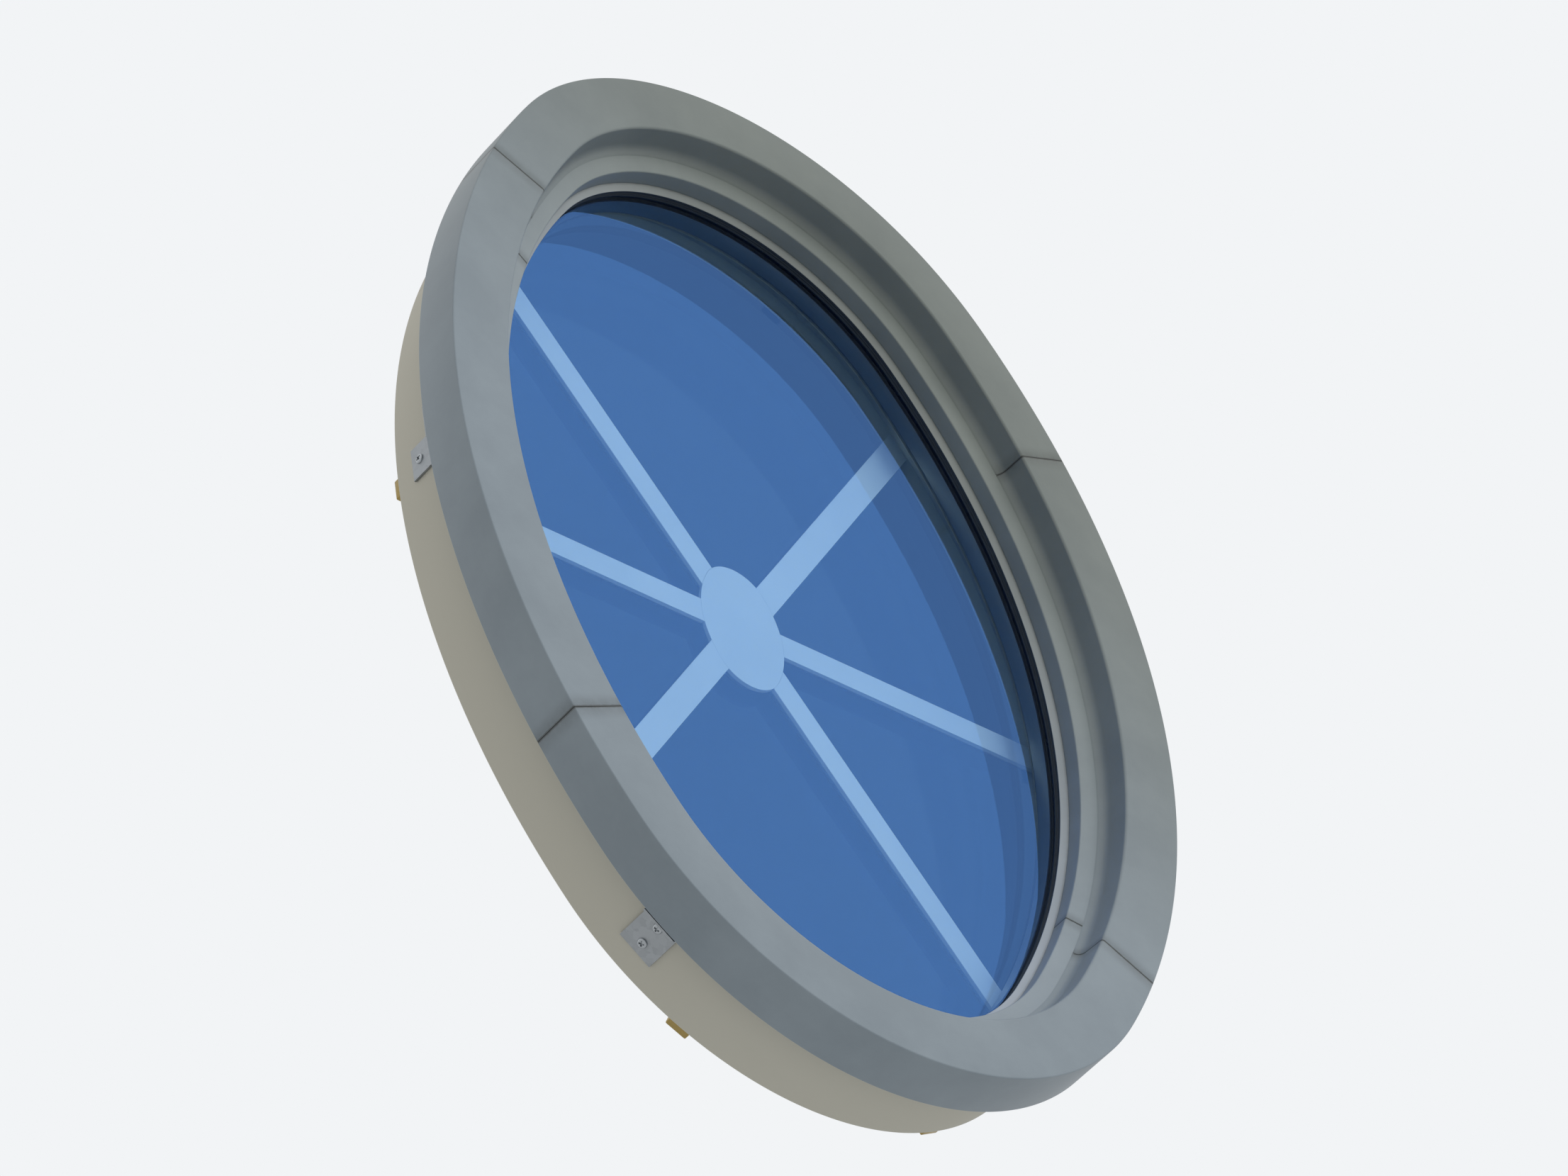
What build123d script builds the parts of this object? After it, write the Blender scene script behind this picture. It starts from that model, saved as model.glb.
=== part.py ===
"""Oval oculus window: segmented casing and frame, sealed glazing, a six-spoke grille and a room pane."""
import os
from math import atan2, cos, degrees, radians, sin, sqrt

from build123d import *

# Lengths are in millimetres and angles in degrees. The origin is the centre of the oval, in the plane
# where the casing meets the wall. Seen from outside, +X is to the right and +Z is up. +Y goes indoors.
# A place on a ring is an inset, measured inwards from the casing's outer edge, and a depth along Y.

# Outer edge of the casing, an oval of four arcs that meet in line
half_width = 330.0
half_height = 475.0
end_radius = 267.0

# Casing
casing_face_width = 49.5
casing_face_depth = -46.0
casing_edge_ease = 1.5
casing_return_draft = 1.3
casing_cove_width = 5.7
casing_cove_height = 5.5
casing_seam_gap = 0.4
upper_right_seam_angle = 22.0
upper_left_seam_angle = 154.0
lower_left_seam_angle = 206.0
lower_right_seam_angle = 331.5

# Frame ring, which carries the casing, the glass, the grille and the room pane
frame_outer_inset = 25.0
frame_front_depth = -21.0
ledge_inner_inset = 69.5
ledge_inner_depth = -17.8
rebate_front_depth = -4.0
rebate_inset = 60.0
frame_inner_inset = 46.0
frame_back_depth = 60.0
frame_seam_gap = 0.3
frame_left_seam_angle = 159.0
frame_right_seam_angle = 335.0

# Fixing clips, bent straps that hold the frame to the face of the wall behind the casing
clip_thickness = 1.6
clip_width = 30.0
clip_wall_reach = 21.0
clip_frame_reach = 40.0
clip_hole_inset = 13.0
clip_hole_radius = 2.5
clip_corner_angle = 48.0
screw_head_room = 3.0

# Glazing
sight_inset = 75.0
bead_thickness = 3.4
gasket_thickness = 6.0
gasket_outer_inset = 66.0
glass_inset = 65.0
glass_thickness = 3.0
air_gap = 16.0
spacer_inner_inset = 76.5
block_length = 60.0
block_end_gap = 1.0
bottom_block_angle = 24.0

# Glazing stop on the room side
stop_nose_inset = 73.5
stop_bevel_inset = 60.0
stop_height = 12.0

# Grille on the room side of the glass
grille_thickness = 9.5
bar_width = 23.0
bar_square_edge = 3.0
bar_back_width = 9.0
diagonal_angle = 55.5
hub_half_width = 38.0
hub_half_height = 59.5
hub_end_radius = 30.0
tenon_width = 12.0
tenon_thickness = 5.0
hub_tenon_length = 9.0
frame_tenon_length = 7.0

# Tinted pane on the room side of the grille, and the buttons that turn to hold it
room_pane_gap = 1.5
room_pane_thickness = 4.0
room_pane_inset = 38.0
button_width = 18.0
button_thickness = 3.0
button_outer_inset = 27.0
button_lap = 7.0
button_angles = (0.0, 62.0, 118.0, 180.0, 242.0, 298.0)

# Splines across the seams
casing_spline_length = 40.0
casing_spline_width = 16.0
casing_spline_thickness = 4.0
casing_spline_inset = 20.0
frame_spline_length = 50.0
frame_spline_width = 20.0
frame_spline_thickness = 6.0
frame_spline_inset = 42.0
frame_spline_depth = 8.0

# Clearances
fit = 0.2
loose_fit = 0.4
tenon_end_gap = 0.5
pane_edge_gap = 1.0

# Depths that follow
bead_back_depth = rebate_front_depth + bead_thickness
outer_pane_depth = bead_back_depth + gasket_thickness
gap_front_depth = outer_pane_depth + glass_thickness
inner_pane_depth = gap_front_depth + air_gap
glass_back_depth = inner_pane_depth + glass_thickness
stop_back_depth = glass_back_depth + stop_height
grille_back_depth = frame_back_depth - room_pane_gap
grille_face_depth = grille_back_depth - grille_thickness
grille_mid_depth = (grille_face_depth + grille_back_depth) / 2
casing_spline_depth = (casing_face_depth + frame_front_depth) / 2
casing_back_depth = -clip_thickness - screw_head_room
casing_foot_inset = casing_face_width + casing_return_draft + casing_cove_width
room_pane_back_depth = frame_back_depth + room_pane_thickness

bar_angles = {
    "right": 0.0,
    "upper_right": diagonal_angle,
    "upper_left": 180.0 - diagonal_angle,
    "left": 180.0,
    "lower_left": 180.0 + diagonal_angle,
    "lower_right": 360.0 - diagonal_angle,
}


def oval_arcs(half_x, half_z, end_arc_radius):
    """Right, top, left and bottom arc: centre x and z, radius, first and last angle of the normal."""
    end_rise = half_z - end_arc_radius
    narrowing = half_x - end_arc_radius
    side_shift = (end_rise**2 - narrowing**2) / (2 * narrowing)
    side_radius = side_shift + half_x
    joint = degrees(atan2(end_rise, side_shift))
    return [
        (-side_shift, 0.0, side_radius, -joint, joint),
        (0.0, end_rise, end_arc_radius, joint, 180.0 - joint),
        (side_shift, 0.0, side_radius, 180.0 - joint, 180.0 + joint),
        (0.0, -end_rise, end_arc_radius, 180.0 + joint, 360.0 - joint),
    ]


window_oval = oval_arcs(half_width, half_height, end_radius)
hub_oval = oval_arcs(hub_half_width, hub_half_height, hub_end_radius)
first_joint = window_oval[0][3]


def runs(first, last):
    """The stretches of the window's arcs between two normal angles: centre, radius, from and to."""
    for turn in (-360.0, 0.0, 360.0):
        for x, z, radius, start, end in window_oval:
            low = max(first, start + turn)
            high = min(last, end + turn)
            if low < high:
                yield Vector(x, 0, z), radius, low, high


def outward(angle):
    """The unit vector at an angle from +X towards +Z."""
    return Vector(cos(radians(angle)), 0, sin(radians(angle)))


def radial_plane(centre, angle):
    """The plane through an arc's centre at a normal angle: x outwards and y indoors."""
    return Plane(origin=centre, x_dir=outward(angle), z_dir=outward(angle + 90.0))


def turn_section(outline, first=first_joint, last=first_joint + 360.0):
    """Turns an outline of (inset, depth) corners round the oval, between two normal angles."""
    for centre, radius, low, high in runs(first, last):
        with BuildSketch(radial_plane(centre, low)) as section:
            with BuildLine():
                Polyline(*[(radius - inset, depth) for inset, depth in outline], close=True)
            make_face()
        revolve(section.sketch, axis=Axis(centre, (0, -1, 0)), revolution_arc=high - low)


def straight_section(outline, angle, width):
    """A straight piece with an outline of (inset, depth) corners, across the oval at a normal angle."""
    centre, radius, _, _ = next(runs(angle, angle + 0.001))
    with BuildSketch(radial_plane(centre, angle)) as section:
        with BuildLine():
            Polyline(*[(radius - inset, depth) for inset, depth in outline], close=True)
        make_face()
    extrude(section.sketch, amount=width / 2, both=True)


def rectangle_section(outer, inner, front, back):
    """A rectangular outline between two insets and two depths."""
    return [(outer, front), (inner, front), (inner, back), (outer, back)]


def oval_face(arcs, inset=0.0, mode=Mode.ADD):
    """An oval's face at an inset, on a sketch with x to the right and y up."""
    with BuildLine() as outline:
        for x, z, radius, start, end in arcs:
            CenterArc((x, z), radius - inset, start, end - start)
    make_face(outline.edges(), mode=mode)


def facing_out(depth):
    """The plane across the window at a depth, with its normal towards the outside."""
    return Plane.XZ.offset(-depth)


def reach(arcs, angle, inset=0.0):
    """How far an oval lies from its centre in the direction of an angle."""
    across = cos(radians(angle))
    up = sin(radians(angle))
    for x, z, radius, start, end in arcs:
        miss = x * up - z * across
        if abs(miss) > radius - inset:
            continue
        length = x * across + z * up + sqrt((radius - inset) ** 2 - miss**2)
        normal = degrees(atan2(length * up - z, length * across - x))
        if start <= normal <= end or start <= normal + 360.0 <= end:
            return length


def station(angle, inset, depth):
    """A plane on the oval at a normal angle: x outwards, y along the oval, normal to the outside."""
    centre, radius, _, _ = next(runs(angle, angle + 0.001))
    place = centre + outward(angle) * (radius - inset) + Vector(0, depth, 0)
    return Plane(origin=place, x_dir=outward(angle), z_dir=(0, -1, 0))


def gap_angle(angle, gap):
    """Half of a seam's gap as an angle at the casing's outer edge."""
    _, radius, _, _ = next(runs(angle, angle + 0.001))
    return degrees(gap / 2 / radius)


def spline(angle, inset, depth, length, width, thickness, spare=0.0, mode=Mode.ADD):
    """A flat spline across the seam at an angle, or its pocket when it has spare room."""
    with BuildSketch(station(angle, inset, depth)) as plan:
        Rectangle(width + 2 * spare, length + 2 * spare)
    extrude(plan.sketch, amount=thickness / 2 + spare, both=True, mode=mode)


def tenon(angle, start, end, spare=0.0, mode=Mode.ADD):
    """A tenon along a bar's middle from one distance to another, or its mortise with spare room."""
    middle = outward(angle) * start + Vector(0, grille_mid_depth, 0)
    with BuildSketch(Plane(origin=middle, x_dir=outward(angle + 90.0), z_dir=outward(angle))) as end_face:
        Rectangle(tenon_width + 2 * spare, tenon_thickness + 2 * spare)
    extrude(end_face.sketch, amount=end - start, mode=mode)


def finish(piece, name):
    """Names a finished piece and writes it."""
    piece.part.label = name
    export_step(piece.part, f"parts/{name}.step")


os.makedirs("parts", exist_ok=True)

# Casing: a flat face, a drafted return with a cove at its foot, and a leg towards the wall
casing_outline = [
    (0.0, casing_face_depth),
    (casing_face_width - casing_edge_ease, casing_face_depth),
    (casing_face_width, casing_face_depth + casing_edge_ease),
    (casing_foot_inset - casing_cove_width, frame_front_depth - casing_cove_height),
    (casing_foot_inset, frame_front_depth),
    (frame_outer_inset - loose_fit, frame_front_depth),
    (frame_outer_inset - loose_fit, casing_back_depth),
    (0.0, casing_back_depth),
]
casing_spans = {
    "casing_right": (lower_right_seam_angle - 360.0, upper_right_seam_angle),
    "casing_top": (upper_right_seam_angle, upper_left_seam_angle),
    "casing_left": (upper_left_seam_angle, lower_left_seam_angle),
    "casing_bottom": (lower_left_seam_angle, lower_right_seam_angle),
}
for name, (first, last) in casing_spans.items():
    low = first + gap_angle(first % 360.0, casing_seam_gap)
    high = last - gap_angle(last % 360.0, casing_seam_gap)
    with BuildPart() as casing:
        turn_section(casing_outline, low, high)
        for seam in (first, last):
            spline(
                seam % 360.0,
                casing_spline_inset,
                casing_spline_depth,
                casing_spline_length,
                casing_spline_width,
                casing_spline_thickness,
                spare=fit,
                mode=Mode.SUBTRACT,
            )
    finish(casing, name)

with BuildPart() as casing_splines:
    for _, seam in casing_spans.values():
        spline(
            seam,
            casing_spline_inset,
            casing_spline_depth,
            casing_spline_length,
            casing_spline_width,
            casing_spline_thickness,
        )
finish(casing_splines, "casing_splines")

# Frame: a sloping ledge in front, a rebate for the glass, and a shoulder that carries the stop
frame_outline = [
    (frame_outer_inset, frame_front_depth),
    (casing_foot_inset + fit, frame_front_depth),
    (ledge_inner_inset, ledge_inner_depth),
    (ledge_inner_inset, rebate_front_depth),
    (rebate_inset, rebate_front_depth),
    (rebate_inset, glass_back_depth),
    (frame_inner_inset, glass_back_depth),
    (frame_inner_inset, frame_back_depth),
    (frame_outer_inset, frame_back_depth),
]
frame_spans = {
    "frame_upper": (frame_right_seam_angle - 360.0, frame_left_seam_angle),
    "frame_lower": (frame_left_seam_angle, frame_right_seam_angle),
}
for name, (first, last) in frame_spans.items():
    low = first + gap_angle(first % 360.0, frame_seam_gap)
    high = last - gap_angle(last % 360.0, frame_seam_gap)
    with BuildPart() as frame:
        turn_section(frame_outline, low, high)
        for seam in (first, last):
            spline(
                seam % 360.0,
                frame_spline_inset,
                frame_spline_depth,
                frame_spline_length,
                frame_spline_width,
                frame_spline_thickness,
                spare=fit,
                mode=Mode.SUBTRACT,
            )
        for angle in bar_angles.values():
            bar_end = reach(window_oval, angle, frame_inner_inset)
            mortise_end = bar_end + frame_tenon_length + tenon_end_gap
            tenon(angle, bar_end - frame_tenon_length, mortise_end, fit, Mode.SUBTRACT)
    finish(frame, name)

with BuildPart() as frame_splines:
    for _, seam in frame_spans.values():
        spline(
            seam,
            frame_spline_inset,
            frame_spline_depth,
            frame_spline_length,
            frame_spline_width,
            frame_spline_thickness,
        )
finish(frame_splines, "frame_splines")

# Fixing clips: one leg on the frame's outer face, the other on the wall, with their holes in rectangles
clip_outline = [
    (frame_outer_inset - clip_wall_reach, -clip_thickness),
    (frame_outer_inset - fit, -clip_thickness),
    (frame_outer_inset - fit, clip_frame_reach),
    (frame_outer_inset - fit - clip_thickness, clip_frame_reach),
    (frame_outer_inset - fit - clip_thickness, 0.0),
    (frame_outer_inset - clip_wall_reach, 0.0),
]
clip_angles = [0.0, clip_corner_angle, 180.0 - clip_corner_angle]
clip_angles += [angle + 180.0 for angle in clip_angles]
with BuildPart() as fixing_clips:
    for angle in clip_angles:
        straight_section(clip_outline, angle, clip_width)
        with BuildSketch(station(angle, clip_hole_inset, fit)) as clip_hole:
            Circle(clip_hole_radius)
        extrude(clip_hole.sketch, amount=clip_thickness + 2 * fit, mode=Mode.SUBTRACT)
finish(fixing_clips, "fixing_clips")

# Glazing bead: the narrow sloping line in front of the glass
bead_outline = [
    (rebate_inset + fit, rebate_front_depth),
    (ledge_inner_inset, rebate_front_depth),
    (sight_inset, bead_back_depth),
    (rebate_inset + fit, bead_back_depth),
]
with BuildPart() as glazing_bead:
    turn_section(bead_outline)
finish(glazing_bead, "glazing_bead")

# Black gasket between the bead and the sealed unit
with BuildPart() as front_gasket:
    turn_section(rectangle_section(gasket_outer_inset, sight_inset, bead_back_depth, outer_pane_depth))
finish(front_gasket, "front_gasket")

# Sealed unit: two panes with the spacer bonded between them
pane_depths = {"outer_pane": outer_pane_depth, "inner_pane": inner_pane_depth}
for name, depth in pane_depths.items():
    with BuildPart() as pane:
        with BuildSketch(facing_out(depth + glass_thickness)):
            oval_face(window_oval, glass_inset)
        extrude(amount=glass_thickness)
    finish(pane, name)

with BuildPart() as spacer:
    turn_section(rectangle_section(glass_inset, spacer_inner_inset, gap_front_depth, inner_pane_depth))
finish(spacer, "spacer")

# Setting blocks, two under the unit and one at each side
block_outline = rectangle_section(
    rebate_inset + fit,
    glass_inset - fit,
    outer_pane_depth + block_end_gap,
    glass_back_depth - block_end_gap,
)
with BuildPart() as setting_blocks:
    for angle in (0.0, 180.0, 270.0 - bottom_block_angle, 270.0 + bottom_block_angle):
        _, radius, _, _ = next(runs(angle, angle + 0.001))
        half_turn = degrees(block_length / 2 / (radius - glass_inset))
        turn_section(block_outline, angle - half_turn, angle + half_turn)
finish(setting_blocks, "setting_blocks")

# Stop on the room side, bevelled so that it hides nothing of the grille
stop_outline = [
    (frame_inner_inset + fit, glass_back_depth),
    (stop_nose_inset, glass_back_depth),
    (stop_bevel_inset, stop_back_depth),
    (frame_inner_inset + fit, stop_back_depth),
]
with BuildPart() as interior_stop:
    turn_section(stop_outline)
finish(interior_stop, "interior_stop")

# Grille: an oval hub and six flat-faced bars, bevelled towards the room
with BuildPart() as grille_hub:
    with BuildSketch(facing_out(grille_back_depth)):
        oval_face(hub_oval)
    extrude(amount=grille_thickness)
    rim = grille_hub.faces().sort_by(Axis.Y)[-1].edges()
    chamfer(rim, length=grille_thickness - bar_square_edge, length2=(bar_width - bar_back_width) / 2)
    for angle in bar_angles.values():
        hub_edge = reach(hub_oval, angle)
        mortise_start = hub_edge - hub_tenon_length - tenon_end_gap
        tenon(angle, mortise_start, hub_edge + hub_tenon_length, fit, Mode.SUBTRACT)
finish(grille_hub, "grille_hub")

bar_outline = [
    (-bar_width / 2, -grille_face_depth),
    (bar_width / 2, -grille_face_depth),
    (bar_width / 2, -grille_face_depth - bar_square_edge),
    (bar_back_width / 2, -grille_back_depth),
    (-bar_back_width / 2, -grille_back_depth),
    (-bar_width / 2, -grille_face_depth - bar_square_edge),
]
for place, angle in bar_angles.items():
    bar_end = reach(window_oval, angle, frame_inner_inset)
    with BuildPart() as grille_bar:
        with BuildSketch(Plane(origin=(0, 0, 0), x_dir=outward(angle + 90.0), z_dir=outward(angle))):
            with BuildLine():
                Polyline(*bar_outline, close=True)
            make_face()
        extrude(amount=bar_end + bar_width)
        with BuildSketch(facing_out(grille_back_depth + fit)):
            oval_face(window_oval, frame_inner_inset + fit)
            oval_face(hub_oval, -fit, mode=Mode.SUBTRACT)
        extrude(amount=grille_thickness + 2 * fit, mode=Mode.INTERSECT)
        tenon(angle, reach(hub_oval, angle) - hub_tenon_length, bar_end + frame_tenon_length)
    finish(grille_bar, f"grille_bar_{place}")

# Room pane, laid against the back of the frame
with BuildPart() as room_pane:
    with BuildSketch(facing_out(room_pane_back_depth)):
        oval_face(window_oval, room_pane_inset)
    extrude(amount=room_pane_thickness)
finish(room_pane, "room_pane")

# Turn buttons, which stand on the frame beside the pane and reach over its edge
button_foot_inset = room_pane_inset - pane_edge_gap
button_outline = [
    (button_outer_inset, frame_back_depth),
    (button_foot_inset, frame_back_depth),
    (button_foot_inset, room_pane_back_depth + fit),
    (room_pane_inset + button_lap, room_pane_back_depth + fit),
    (room_pane_inset + button_lap, room_pane_back_depth + button_thickness),
    (button_outer_inset, room_pane_back_depth + button_thickness),
]
with BuildPart() as turn_buttons:
    for angle in button_angles:
        straight_section(button_outline, angle, button_width)
finish(turn_buttons, "turn_buttons")
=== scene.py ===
from math import atan2, cos, degrees, pi, radians, sin, tan

import bmesh
import bpy
from mathutils import Matrix, Vector


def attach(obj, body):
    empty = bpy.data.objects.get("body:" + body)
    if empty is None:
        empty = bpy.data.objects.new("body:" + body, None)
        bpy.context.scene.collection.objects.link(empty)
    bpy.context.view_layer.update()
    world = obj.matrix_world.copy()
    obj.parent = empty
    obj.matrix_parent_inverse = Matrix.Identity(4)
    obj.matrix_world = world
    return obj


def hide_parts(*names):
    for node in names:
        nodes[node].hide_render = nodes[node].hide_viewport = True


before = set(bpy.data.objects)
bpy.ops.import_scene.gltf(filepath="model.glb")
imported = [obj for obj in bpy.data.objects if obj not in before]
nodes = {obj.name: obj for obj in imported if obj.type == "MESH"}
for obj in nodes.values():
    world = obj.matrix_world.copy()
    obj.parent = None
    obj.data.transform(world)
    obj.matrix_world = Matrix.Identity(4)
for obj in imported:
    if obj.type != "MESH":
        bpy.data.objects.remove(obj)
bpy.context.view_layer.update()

# The looks of the oval oculus window. The mouldings are swept anew, and the other CAD nodes get materials.
# Metres, in the frame of the CAD model: +X to the right seen from outside, +Y into the building, +Z up.
# A place on a moulding is an inset, measured inwards from the casing's outer edge, and a depth along Y,
# both in millimetres. An angle on the oval is that of its outward normal, in degrees from +X.
mm = 0.001

# The casing's outer edge: two end arcs and two side arcs, which meet in line
half_width = 0.330
half_height = 0.475
end_radius = 0.267
end_rise = half_height - end_radius
narrowing = half_width - end_radius
side_shift = (end_rise**2 - narrowing**2) / (2 * narrowing)
side_radius = side_shift + half_width
joint_angle = atan2(end_rise, side_shift)

scene = bpy.context.scene

# Camera: far below and to the left of the window, as the street sees it
camera_data = bpy.data.cameras.new("street_camera")
camera_data.sensor_width = 36.0
camera_data.lens = 138.0
camera_data.clip_end = 100.0
camera = bpy.data.objects.new("street_camera", camera_data)
right = Vector((0.7752591, -0.61831917, -0.12899892))
up = Vector((-0.35762618, -0.59803862, 0.71725295))
back = Vector((-0.52064168, -0.50992795, -0.68476691))
turn = Matrix((right, up, back)).transposed()
place = Vector((-2.284, -2.237, -3.004))
camera.matrix_world = Matrix.Translation(place) @ turn.to_4x4()
scene.collection.objects.link(camera)
scene.camera = camera
scene.view_settings.view_transform = "Standard"


def linear(code):
    """A colour written as an sRGB hex code, as the linear values that the shaders take."""
    values = [int(code[i : i + 2], 16) / 255 for i in (1, 3, 5)]
    return [v / 12.92 if v <= 0.04045 else ((v + 0.055) / 1.055) ** 2.4 for v in values] + [1.0]


def add(tree, kind, inputs=(), **settings):
    """Adds a node with its settings. Its inputs are a list in their order, or a dictionary by name or
    number. Each is a value, another node's socket, or a node, which stands for its first output in use."""
    made = tree.nodes.new(kind)
    for name, value in settings.items():
        setattr(made, name, value)
    for name, value in inputs.items() if isinstance(inputs, dict) else enumerate(inputs):
        if isinstance(value, bpy.types.Node):
            value = next(socket for socket in value.outputs if socket.enabled)
        if isinstance(value, bpy.types.NodeSocket):
            tree.links.new(value, made.inputs[name])
        else:
            made.inputs[name].default_value = value
    return made


def new_material(name):
    """An empty node material, its tree and its output node."""
    material = bpy.data.materials.new(name)
    material.use_nodes = True
    material.node_tree.nodes.clear()
    return material, material.node_tree, add(material.node_tree, "ShaderNodeOutputMaterial")


def seen_share(tree):
    """1 for what the camera, a mirror or a pane shows, and 0 for the light that falls on the window."""
    path = add(tree, "ShaderNodeLightPath").outputs
    shown = add(tree, "ShaderNodeMath", [path["Is Camera Ray"], path["Is Glossy Ray"]], operation="ADD")
    passed = path["Is Transmission Ray"]
    return add(tree, "ShaderNodeMath", [shown, passed], operation="ADD", use_clamp=True)


# Stage: an even pale studio, a near-white backdrop and a floor far below
studio_light = "#bebebb"
backdrop_tone = "#f2f4f6"
world = bpy.data.worlds.new("pale_studio")
world.use_nodes = True
tree = world.node_tree
tree.nodes.clear()
shade = add(
    tree,
    "ShaderNodeMix",
    {"Factor": seen_share(tree), "A": linear(studio_light), "B": linear(backdrop_tone)},
    data_type="RGBA",
)
backdrop = add(tree, "ShaderNodeBackground", {"Color": shade, "Strength": 1.0})
add(tree, "ShaderNodeOutputWorld", {"Surface": backdrop})
scene.world = world


def lamp(name, place, size, power):
    """A soft square lamp that faces the window and isn't mirrored in its glass."""
    data = bpy.data.lights.new(name, "AREA")
    data.size = size
    data.energy = power
    made = bpy.data.objects.new(name, data)
    made.location = place
    made.rotation_euler = (-Vector(place)).to_track_quat("-Z", "Y").to_euler()
    made.visible_glossy = False
    scene.collection.objects.link(made)


lamp("front_lamp", (0.9, -4.4, 1.6), size=3.6, power=114.0)
lamp("room_lamp", (-1.2, 4.0, 2.2), size=3.0, power=70.0)

floor_level = -3.4
floor_reach = 30.0
floor_glow = 0.7
floor_mesh = bpy.data.meshes.new("studio_floor")
ways = ((-1, -1), (1, -1), (1, 1), (-1, 1))
corners = [(x * floor_reach, y * floor_reach, floor_level) for x, y in ways]
floor_mesh.from_pydata(corners, [], [(0, 1, 2, 3)])
floor = bpy.data.objects.new("studio_floor", floor_mesh)
scene.collection.objects.link(floor)
# Matt painted floor: faint speckles about 330 mm wide. It glows when seen, to stay pale this far down
material, tree, output = new_material("matt_studio_floor")
coords = add(tree, "ShaderNodeTexCoord").outputs["Object"]
speckle = add(tree, "ShaderNodeTexNoise", {"Vector": coords, "Scale": 1 / (330 * mm), "Detail": 4.0})
shade = add(
    tree,
    "ShaderNodeMix",
    {"Factor": speckle, "A": linear("#e4e6e8"), "B": linear("#eceef0")},
    data_type="RGBA",
)
matt = add(tree, "ShaderNodeBsdfDiffuse", {"Color": shade})
glow = add(tree, "ShaderNodeEmission", {"Color": shade, "Strength": 1.0})
share = add(tree, "ShaderNodeMath", [seen_share(tree), floor_glow], operation="MULTIPLY")
surface = add(tree, "ShaderNodeMixShader", [share, matt, glow])
tree.links.new(surface.outputs[0], output.inputs["Surface"])
floor_mesh.materials.append(material)

undercoat = "#c2bfb3"
# The dirt in the seams, and the most that it hides of the paint
dirt = "#3a3b37"
dirt_share = 0.6
# Painted shade over the outdoor paint, darker and warmer where the wall's arch would shade it: its colour,
# the direction in which it deepens, and how far that way from the window's middle it starts and is full
painted_shade = "#d9d4c2"
shade_way = (0.6, 0.0, 0.8)
shade_start = -200 * mm
shade_end = 400 * mm


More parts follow.
